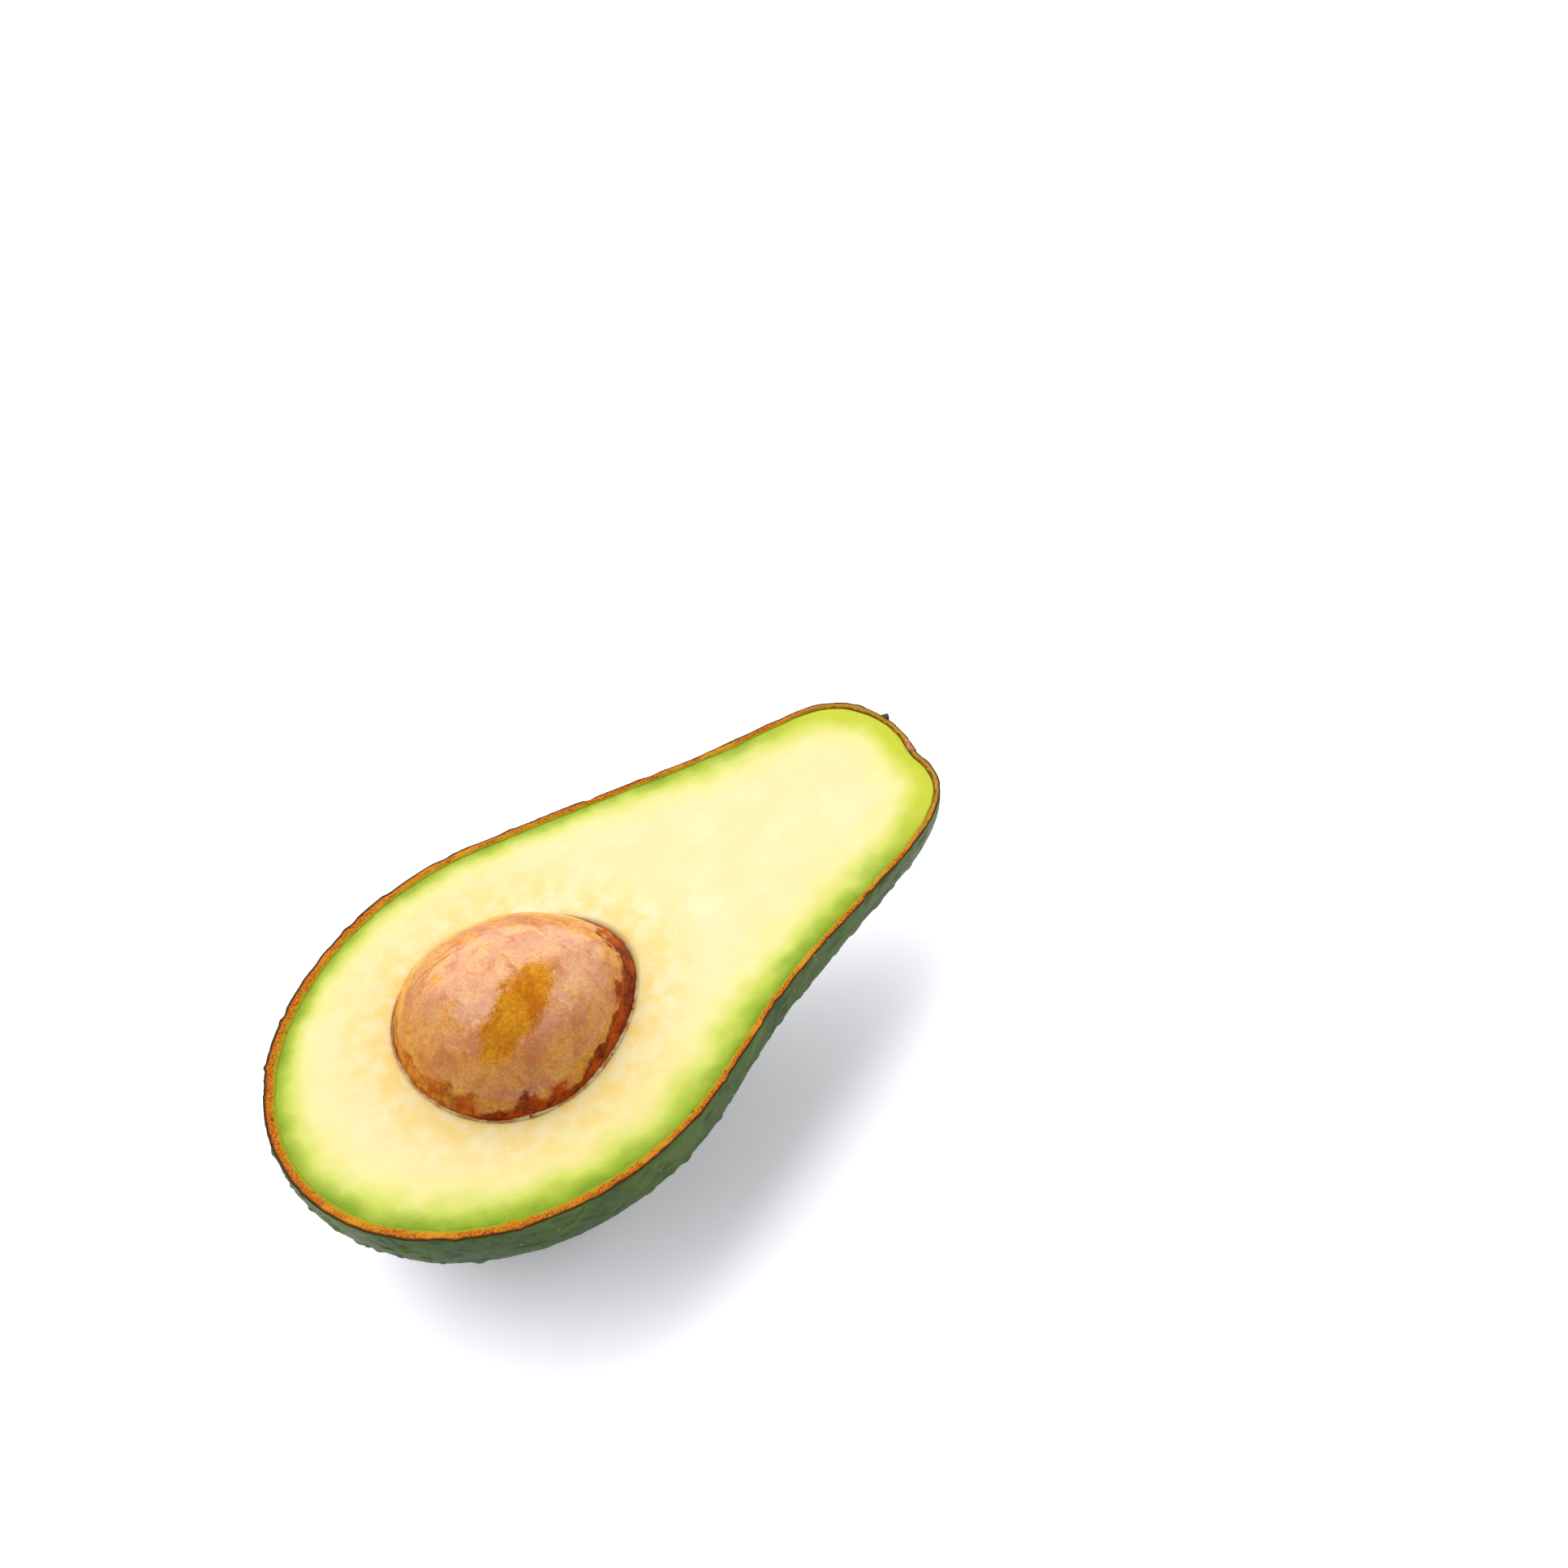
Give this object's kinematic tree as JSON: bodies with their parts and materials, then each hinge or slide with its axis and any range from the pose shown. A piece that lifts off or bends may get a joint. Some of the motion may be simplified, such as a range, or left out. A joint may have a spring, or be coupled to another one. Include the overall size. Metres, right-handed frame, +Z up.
{
  "type": "avocado half with stone",
  "caption": "Ripe avocado cut lengthwise, lying on its rounded back: green peel, pale flesh shading to lime at the rim, glossy brown stone still in its bed.",
  "frame": {"origin": "under the middle of the bounding box, on the surface that the half rests on", "axes": "+X from the blossom end to the stem end, +Y across the cut face, +Z up, out of the cut face, which is level"},
  "size_m": [0.1186, 0.0638, 0.0438],
  "materials": {
    "peel": "satin",
    "flesh": "satin",
    "seed_coat": "satin",
    "stone": "gloss",
    "stem_button": "matte"
  },
  "bodies": {
    "root": {"peel": "peel", "flesh": "flesh", "seed_coat": "seed_coat", "stone": "stone", "stem_button": "stem_button"}
  },
  "joints": []
}
